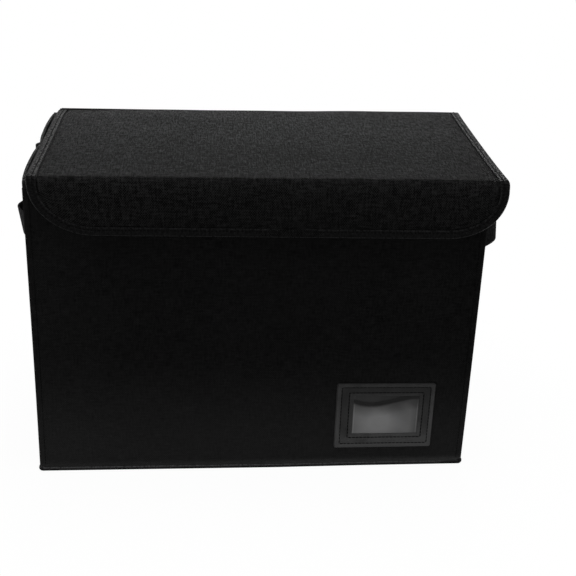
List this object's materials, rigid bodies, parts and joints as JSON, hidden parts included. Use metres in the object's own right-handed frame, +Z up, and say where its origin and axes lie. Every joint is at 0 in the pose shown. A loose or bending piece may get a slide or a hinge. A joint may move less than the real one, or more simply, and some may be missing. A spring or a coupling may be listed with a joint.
{
  "type": "comic book storage box",
  "caption": "Collapsible cloth-covered storage box for comics, with a hinged lid, a front flap, folding side walls, handles and a label holder.",
  "frame": {"origin": "middle of the footprint of the walls, on the floor", "axes": "+X to the right seen from the front, -Y to the front, +Z up"},
  "size_m": [0.4532, 0.2232, 0.29],
  "materials": {
    "cloth": "matt woven cloth",
    "lining": "matt non-woven cloth",
    "edge_tape": "ribbed tape",
    "webbing": "woven webbing",
    "board": "grey pressed board",
    "label_leather": "fine grained soft sheet",
    "label_film": "clear glossy film",
    "hook_and_loop": "hook and loop pile"
  },
  "bodies": {
    "back": {"back_cover": "cloth", "back_board": "board", "back_lining": "lining", "back_rim_tape": "edge_tape", "bottom_cover": "cloth", "bottom_binding": "edge_tape", "lid_hinge_cloth": "cloth"},
    "left_rear": {"left_rear_cover": "cloth", "left_rear_board": "board", "left_rear_lining": "lining", "left_rear_rim_tape": "edge_tape", "left_handle_rear_end": "webbing", "left_handle_loop": "webbing"},
    "left_front": {"left_front_cover": "cloth", "left_front_board": "board", "left_front_lining": "lining", "left_front_rim_tape": "edge_tape", "left_handle_front_end": "webbing"},
    "right_rear": {"right_rear_cover": "cloth", "right_rear_board": "board", "right_rear_lining": "lining", "right_rear_rim_tape": "edge_tape", "right_handle_rear_end": "webbing", "right_handle_loop": "webbing"},
    "right_front": {"right_front_cover": "cloth", "right_front_board": "board", "right_front_lining": "lining", "right_front_rim_tape": "edge_tape", "right_handle_front_end": "webbing"},
    "front": {"front_cover": "cloth", "front_board": "board", "front_lining": "lining", "front_rim_tape": "edge_tape", "label_frame": "label_leather", "label_window": "label_film", "loop_pads": "hook_and_loop"},
    "base": {"base_board": "board", "base_cover": "cloth"},
    "lid": {"lid_cover": "cloth", "lid_board": "board", "lid_lining": "lining", "lid_edge_tape": "edge_tape"},
    "flap": {"flap_cover": "cloth", "flap_board": "board", "flap_lining": "lining", "flap_edge_tape": "edge_tape", "hook_pads": "hook_and_loop"}
  },
  "joints": [
    {"name": "lid_hinge", "type": "hinge", "parent": "back", "child": "lid", "pos_m": [0, 0.1085, 0.29], "axis": [-1, 0, 0], "range_deg": [0, 265]},
    {"name": "flap_hinge", "type": "hinge", "parent": "lid", "child": "flap", "pos_m": [0, -0.1149, 0.29], "axis": [-1, 0, 0], "range_deg": [0, 90]},
    {"name": "side_fold", "type": "hinge", "parent": "back", "child": "left_rear", "pos_m": [-0.195, 0.0975, 0], "axis": [0, 0, 1], "range_deg": [0, 84], "deforming": ["left_handle_loop", "right_handle_loop"]},
    {"name": "left_crease", "type": "hinge", "parent": "left_rear", "child": "left_front", "pos_m": [-0.2, 0, 0], "axis": [0, 0, 1], "range_deg": [-168, 0]},
    {"name": "front_corner", "type": "hinge", "parent": "left_front", "child": "front", "pos_m": [-0.195, -0.0975, 0], "axis": [0, 0, 1], "range_deg": [0, 84]},
    {"name": "right_fold", "type": "hinge", "parent": "back", "child": "right_rear", "pos_m": [0.195, 0.0975, 0], "axis": [0, 0, 1], "range_deg": [-84, 0]},
    {"name": "right_crease", "type": "hinge", "parent": "right_rear", "child": "right_front", "pos_m": [0.2, 0, 0], "axis": [0, 0, 1], "range_deg": [0, 168]},
    {"name": "base_lift", "type": "hinge", "parent": "back", "child": "base", "pos_m": [0, 0.1022, 0.0055], "axis": [-1, 0, 0], "range_deg": [0, 90]}
  ],
  "couplings": [
    {"joint": "left_crease", "follows": "side_fold", "ratio": -2},
    {"joint": "front_corner", "follows": "side_fold", "ratio": 1},
    {"joint": "right_fold", "follows": "side_fold", "ratio": -1},
    {"joint": "right_crease", "follows": "side_fold", "ratio": 2}
  ]
}
